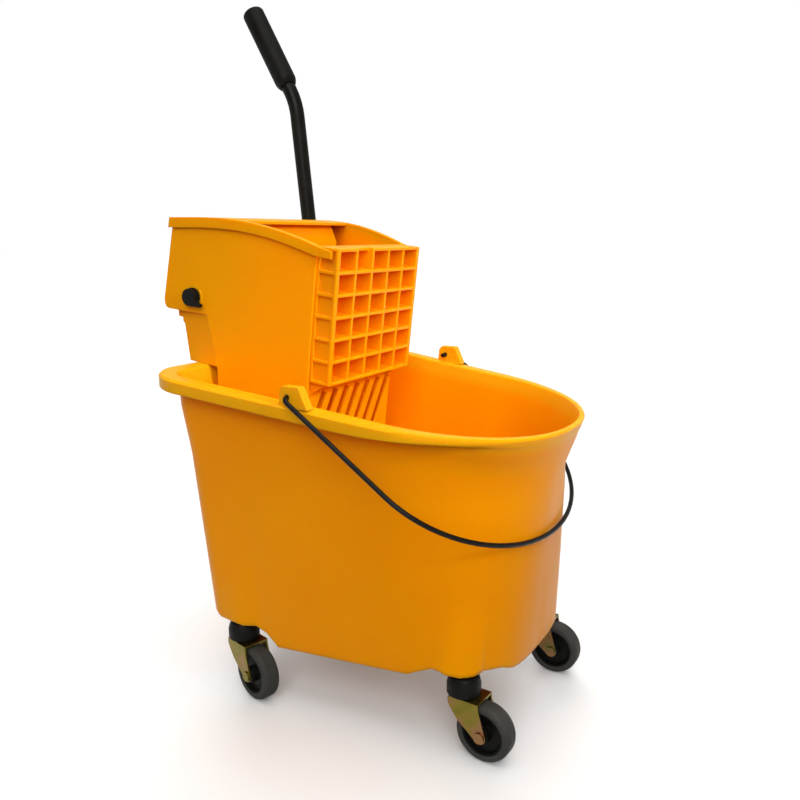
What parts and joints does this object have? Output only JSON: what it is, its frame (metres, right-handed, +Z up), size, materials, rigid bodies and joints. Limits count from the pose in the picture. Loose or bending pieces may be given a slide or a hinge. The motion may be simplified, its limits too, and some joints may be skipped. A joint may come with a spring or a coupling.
{
  "type": "side press mop wringer",
  "caption": "Wheeled mop bucket with a wire bail and a lift-off side press wringer, whose lever drives a press plate toward a waffle grid to squeeze a mop.",
  "frame": {"origin": "on the floor, midway between the four caster stems", "axes": "+X to the front of the bucket, away from the wringer; +Y to its left side, where the lever is; +Z up"},
  "size_m": [0.6015, 0.428, 0.9458],
  "materials": {
    "bucket_plastic": "moulded, low gloss",
    "wringer_plastic": "moulded, low gloss",
    "black_wire": "black coated wire",
    "black_paint": "black powder coat",
    "grip_rubber": "soft matt grip",
    "tyre_rubber": "dark grey rubber",
    "black_plastic": "moulded black",
    "zinc_plate": "yellow zinc plate",
    "bright_steel": "bright zinc"
  },
  "bodies": {
    "bucket_body": {"bucket": "bucket_plastic", "right_front_stem": "bright_steel", "right_front_cup": "black_plastic", "left_front_stem": "bright_steel", "left_front_cup": "black_plastic", "right_rear_stem": "bright_steel", "right_rear_cup": "black_plastic", "left_rear_stem": "bright_steel", "left_rear_cup": "black_plastic"},
    "right_front_swivel": {"right_front_fork": "zinc_plate", "right_front_axle": "zinc_plate"},
    "right_front_wheel": {"right_front_hub": "black_plastic", "right_front_tyre": "tyre_rubber"},
    "left_front_swivel": {"left_front_fork": "zinc_plate", "left_front_axle": "zinc_plate"},
    "left_front_wheel": {"left_front_hub": "black_plastic", "left_front_tyre": "tyre_rubber"},
    "right_rear_swivel": {"right_rear_fork": "zinc_plate", "right_rear_axle": "zinc_plate"},
    "right_rear_wheel": {"right_rear_hub": "black_plastic", "right_rear_tyre": "tyre_rubber"},
    "left_rear_swivel": {"left_rear_fork": "zinc_plate", "left_rear_axle": "zinc_plate"},
    "left_rear_wheel": {"left_rear_hub": "black_plastic", "left_rear_tyre": "tyre_rubber"},
    "bail_body": {"bail": "black_wire"},
    "wringer": {"wringer_housing": "wringer_plastic", "front_grid": "wringer_plastic", "top_frame": "wringer_plastic", "frame_screws": "bright_steel", "left_bush": "black_plastic", "right_bush": "black_plastic"},
    "lever": {"drive_shaft": "bright_steel", "left_crank": "bright_steel", "right_crank": "bright_steel", "shaft_retainer": "black_plastic", "lever_socket": "black_paint", "lever_bolt": "bright_steel", "lever_tube": "black_paint", "lever_grip": "grip_rubber"},
    "press": {"press_plate": "wringer_plastic"}
  },
  "joints": [
    {"name": "right_front_turn", "type": "hinge", "parent": "bucket_body", "child": "right_front_swivel", "pos_m": [0.157, -0.115, 0.085], "axis": [0, 0, 1], "continuous": true},
    {"name": "right_front_roll", "type": "hinge", "parent": "right_front_swivel", "child": "right_front_wheel", "pos_m": [0.18696, -0.11657, 0.035], "axis": [0.0523, 0.9986, 0], "continuous": true},
    {"name": "left_front_turn", "type": "hinge", "parent": "bucket_body", "child": "left_front_swivel", "pos_m": [0.157, 0.115, 0.085], "axis": [0, 0, 1], "continuous": true},
    {"name": "left_front_roll", "type": "hinge", "parent": "left_front_swivel", "child": "left_front_wheel", "pos_m": [0.187, 0.115, 0.035], "axis": [0, 1, 0], "continuous": true},
    {"name": "right_rear_turn", "type": "hinge", "parent": "bucket_body", "child": "right_rear_swivel", "pos_m": [-0.157, -0.142, 0.085], "axis": [0, 0, 1], "continuous": true},
    {"name": "right_rear_roll", "type": "hinge", "parent": "right_rear_swivel", "child": "right_rear_wheel", "pos_m": [-0.12816, -0.15027, 0.035], "axis": [0.2756, 0.9613, 0], "continuous": true},
    {"name": "left_rear_turn", "type": "hinge", "parent": "bucket_body", "child": "left_rear_swivel", "pos_m": [-0.157, 0.142, 0.085], "axis": [0, 0, 1], "continuous": true},
    {"name": "left_rear_roll", "type": "hinge", "parent": "left_rear_swivel", "child": "left_rear_wheel", "pos_m": [-0.12746, 0.13679, 0.035], "axis": [0.1736, 0.9848, 0], "continuous": true},
    {"name": "bail_swing", "type": "hinge", "parent": "bucket_body", "child": "bail_body", "pos_m": [-0.029, 0, 0.42375], "axis": [0, -1, 0], "range_deg": [0, 119]},
    {"name": "wringer_lift", "type": "slide", "parent": "bucket_body", "child": "wringer", "axis": [0, 0, 1], "range_m": [0, 0.25]},
    {"name": "lever_swing", "type": "hinge", "parent": "wringer", "child": "lever", "pos_m": [-0.23786, 0, 0.52322], "axis": [0, 1, 0], "range_deg": [0, 88]},
    {"name": "press_travel", "type": "slide", "parent": "wringer", "child": "press", "axis": [0.9938, 0, -0.1115], "range_m": [0, 0.08]}
  ],
  "couplings": [
    {"joint": "press_travel", "follows": "lever_swing", "m_per_rad": 0.052033}
  ]
}
